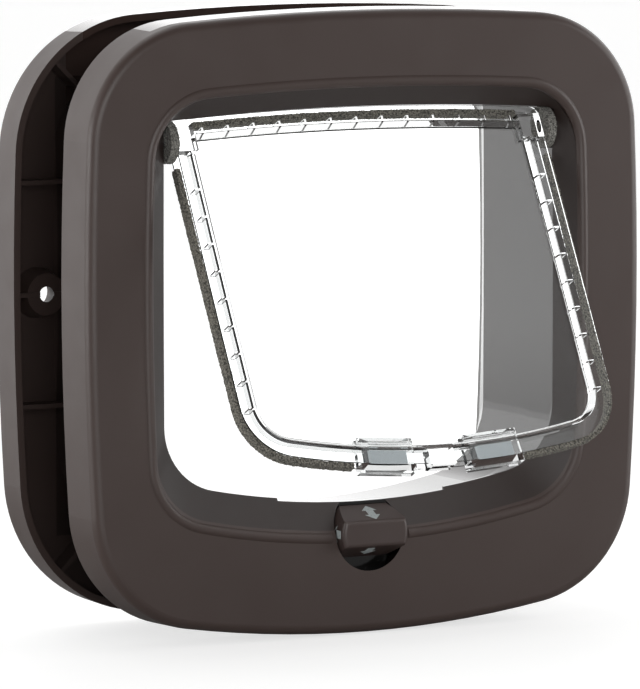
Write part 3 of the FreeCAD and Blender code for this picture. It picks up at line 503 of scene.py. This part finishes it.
def addSidePile(nodeName, side):
    run = [p for p in halfOutline(flapLook) if p.y < flapLook["pileStart"]]
    run.append(Vector((run[-1].x, flapLook["pileStart"])))
    mesh = bpy.data.meshes.new(nodeName + "_tufts")
    points = [(p.x * side, flapLook["pileFront"], p.y) for p in run]
    mesh.from_pydata(points, [(i, i + 1) for i in range(len(points) - 1)], [])
    strip = addPiece(nodeName + "_tufts", mesh, greyPile)
    pick(strip)
    bpy.ops.object.mode_set(mode="EDIT")
    bpy.ops.mesh.select_all(action="SELECT")
    depth = flapLook["pileBack"] - flapLook["pileFront"]
    bpy.ops.mesh.extrude_region_move(TRANSFORM_OT_translate={"value": (0, depth, 0)})
    bpy.ops.object.mode_set(mode="OBJECT")
    strip.data.transform(swung)
    thick = strip.modifiers.new("thick", "SOLIDIFY")
    thick.thickness = flapLook["pileThickness"]
    thick.offset = 0
    tuft(strip, nodeName)


addSidePile("side_pile_left", -1)
addSidePile("side_pile_right", 1)


# printed arrows on the knob: one on each grip face, along its slope, and one on its left end
arrowLook = {
    "head": 3.0 * mm, "halfWidth": 3.0 * mm, "halfShaft": 1.45 * mm, "ink": 0.08 * mm,
    "longLength": 8.8 * mm, "shortLength": 6.0 * mm, "aside": 0.6 * mm, "lift": 0.02 * mm,
}


# a flat arrow along Y in its own plane, with a head at one or both ends
def addArrow(name, length, bothEnds, place):
    half = length / 2
    neck = half - arrowLook["head"]
    tail = -neck if bothEnds else -half
    wide, narrow = arrowLook["halfWidth"], arrowLook["halfShaft"]
    right = [(0, half), (wide, neck), (narrow, neck), (narrow, tail)]
    if bothEnds:
        right += [(wide, -neck), (0, -half)]
    outline = right + [(-x, y) for x, y in reversed(right) if x > 0]
    arrow = meshFromCurve(
        name, [(x, y, 0) for x, y in outline], True,
        dimensions="2D", fill_mode="BOTH", extrude=arrowLook["ink"] / 2,
    )
    arrow.data.transform(place)
    weld(arrow, weldGap["curve"], True)
    arrow.data.materials.append(arrowInk)
    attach(arrow, "lock")
    return arrow


# the knob's grip slopes from a thin front edge to a thick back edge, and its ends are round
knobLip = {
    "frontHalf": 4.4 * mm, "backHalf": 9.3 * mm, "frontY": -24.3 * mm, "backY": -14.2 * mm,
    "endRadius": 13.3 * mm,
}
thicker, deeper = knobLip["backHalf"] - knobLip["frontHalf"], knobLip["backY"] - knobLip["frontY"]
slope = Matrix.Rotation(math.atan2(thicker, deeper), 4, "X")
middleY = (knobLip["frontY"] + knobLip["backY"]) / 2
middleZ = (knobLip["frontHalf"] + knobLip["backHalf"]) / 2
facing = Matrix.Translation((arrowLook["aside"], middleY, middleZ + arrowLook["ink"] / 2)) @ slope
axis = Matrix.Translation((0, 0, lock["z"]))
addArrow("arrow_both_ways", arrowLook["longLength"], True, axis @ facing)

# this arrow is bent round the knob's left end
endRadius = knobLip["endRadius"]
endFacing = Matrix.Translation((-endRadius, middleY, 0)) @ Matrix.Rotation(-math.pi / 2, 4, "Y")
endArrow = addArrow("arrow_in", arrowLook["shortLength"], False, axis @ endFacing)
for vertex in endArrow.data.vertices:
    height = vertex.co.z - lock["z"]
    proud = -vertex.co.x - endRadius + arrowLook["ink"]
    vertex.co.x = -math.sqrt((endRadius + proud) ** 2 - height ** 2) - arrowLook["lift"]
under = Matrix.Rotation(math.pi, 4, "Y")
addArrow("arrow_out", arrowLook["shortLength"], False, axis @ under @ facing)
print("arrows: done")

floorLook = {
    "size": 12.0, "tone": "b0b0af", "roughness": 0.7, "lift": 0.68, "glow": 0.95,
    "farFrom": 0.1, "farTo": 0.9,
}
floorLevel = cadBox[0].z

bpy.ops.object.select_all(action="DESELECT")
bpy.ops.mesh.primitive_plane_add(size=floorLook["size"], location=(0, 0, floorLevel))
floor = bpy.context.active_object
floor.name = "floor"
floorPaint = bpy.data.materials.new("floorPaint")
floorPaint.use_nodes = True
floorShader = floorPaint.node_tree.nodes["Principled BSDF"]
floorShader.inputs["Base Color"].default_value = hexColour(floorLook["tone"])
floorShader.inputs["Roughness"].default_value = floorLook["roughness"]
# the camera sees most of the white as its own light, so that only the shadow darkens it
rays = addNode(floorPaint, "LightPath")
seen = addNode(floorPaint, "Math", {
    0: rays.outputs["Is Camera Ray"], 1: rays.outputs["Is Transmission Ray"],
}, operation="MAXIMUM")
lift = addNode(floorPaint, "Math", {0: seen.outputs[0], 1: floorLook["lift"]}, operation="MULTIPLY")
# a gloss sees the floor far behind as bright as the cove, and the floor near the object as it is lit
floorPlace = addNode(floorPaint, "TexCoord").outputs["Object"]
floorSpot = addNode(floorPaint, "SeparateXYZ", {"Vector": floorPlace})
far = addNode(floorPaint, "MapRange", {
    "Value": floorSpot.outputs["Y"], "From Min": floorLook["farFrom"], "From Max": floorLook["farTo"],
    "To Max": floorLook["glow"],
})
mirrored = addNode(floorPaint, "Math", {
    0: rays.outputs["Is Glossy Ray"], 1: far.outputs["Result"],
}, operation="MULTIPLY")
shown = addNode(floorPaint, "Math", {0: lift.outputs[0], 1: mirrored.outputs[0]}, operation="ADD")
floorShader.inputs["Emission Color"].default_value = (1, 1, 1, 1)
link(floorPaint, shown.outputs[0], floorShader.inputs["Emission Strength"])
floor.data.materials.append(floorPaint)

# a white cove: bright behind, above and at the sides, dim where the photographer stands
coveLook = {
    "ceiling": 0.3, "dim": 0.2, "side": 1.1, "back": 0.6,
    "dimFrom": -0.75, "sideFrom": 0.35, "backTo": 0.9, "ceilingFrom": 0.25, "ceilingTo": 0.9,
}
world = bpy.data.worlds.new("studio")
bpy.context.scene.world = world
world.use_nodes = True
back = world.node_tree.nodes["Background"]
back.inputs["Color"].default_value = (1, 1, 1, 1)
towards = addNode(world, "TexCoord").outputs["Generated"]
heading = addNode(world, "SeparateXYZ", {"Vector": towards})
sides = addNode(world, "MapRange", {
    "Value": heading.outputs["Y"], "From Min": coveLook["dimFrom"], "From Max": coveLook["sideFrom"],
    "To Min": coveLook["dim"], "To Max": coveLook["side"],
}, interpolation_type="SMOOTHSTEP")
glow = addNode(world, "MapRange", {
    "Value": heading.outputs["Y"], "From Min": coveLook["sideFrom"], "From Max": coveLook["backTo"],
    "To Max": coveLook["back"],
}, interpolation_type="SMOOTHSTEP")
level = addNode(world, "Math", {0: heading.outputs["Z"]}, operation="ABSOLUTE")
ceiling = addNode(world, "MapRange", {
    "Value": level.outputs[0], "From Min": coveLook["ceilingFrom"], "From Max": coveLook["ceilingTo"],
    "To Min": 1.0, "To Max": coveLook["ceiling"],
})
walls = addNode(world, "Math", {0: sides.outputs["Result"], 1: glow.outputs["Result"]}, operation="ADD")
cove = addNode(world, "Math", {0: walls.outputs[0], 1: ceiling.outputs["Result"]}, operation="MULTIPLY")
worldRays = addNode(world, "LightPath")
worldSeen = addNode(world, "Math", {
    0: worldRays.outputs["Is Camera Ray"], 1: worldRays.outputs["Is Transmission Ray"],
}, operation="MAXIMUM")
worldLight = addNode(world, "MapRange", {
    "Value": worldSeen.outputs[0], "To Min": cove.outputs[0], "To Max": 1.0,
})
link(world, worldLight.outputs["Result"], back.inputs["Strength"])

# soft boxes that face the middle of the object, in metres and watts
softBoxes = {
    "frontBox": {"place": (-0.55, -2.05, 0.25), "width": 1.4, "height": 1.2, "power": 19},
    "leftBox": {"place": (-1.5, 0.15, 0.12), "width": 0.9, "height": 0.45, "power": 7},
    "rightBox": {"place": (1.5, 0.3, 0.4), "width": 0.9, "height": 1.2, "power": 6},
    "nearBox": {"place": (0.62, -0.34, 0.06), "width": 0.3, "height": 0.5, "power": 1.7},
    "topBox": {"place": (-0.1, 0.6, 1.5), "width": 1.2, "height": 1.0, "power": 5},
}
for boxName, look in softBoxes.items():
    lamp = bpy.data.lights.new(boxName, "AREA")
    lamp.shape = "RECTANGLE"
    lamp.size = look["width"]
    lamp.size_y = look["height"]
    lamp.energy = look["power"]
    holder = bpy.data.objects.new(boxName, lamp)
    bpy.context.scene.collection.objects.link(holder)
    holder.location = look["place"]
    holder.rotation_euler = (-Vector(look["place"])).to_track_quat("-Z", "Y").to_euler()
    holder.visible_transmission = False  # seen through the clear flap, a lamp would only add noise

# the photograph's view, from the front left and a little above
cameraLook = {
    "azimuth": 29.04, "elevation": 5.33, "distance": 2.5, "target": (0, 0, 5 * mm),
    "focalPixels": 7003.88, "centreX": 343.12, "centreY": 278.3, "imageWidth": 640, "imageHeight": 689,
}
turn = math.radians(cameraLook["azimuth"])
rise = math.radians(cameraLook["elevation"])
backwards = Vector((-math.sin(turn) * math.cos(rise), -math.cos(turn) * math.cos(rise), math.sin(rise)))
cameraData = bpy.data.cameras.new("camera")
camera = bpy.data.objects.new("camera", cameraData)
bpy.context.scene.collection.objects.link(camera)
camera.location = Vector(cameraLook["target"]) + backwards * cameraLook["distance"]
camera.rotation_euler = (-backwards).to_track_quat("-Z", "Y").to_euler()
cameraData.lens = cameraLook["focalPixels"] / cameraLook["imageHeight"] * cameraData.sensor_width
cameraData.shift_x = (cameraLook["imageWidth"] / 2 - cameraLook["centreX"]) / cameraLook["imageHeight"]
cameraData.shift_y = (cameraLook["centreY"] - cameraLook["imageHeight"] / 2) / cameraLook["imageHeight"]
cameraData.clip_end = 50
bpy.context.scene.camera = camera
bpy.context.scene.view_settings.view_transform = "Standard"
print("stage: done")
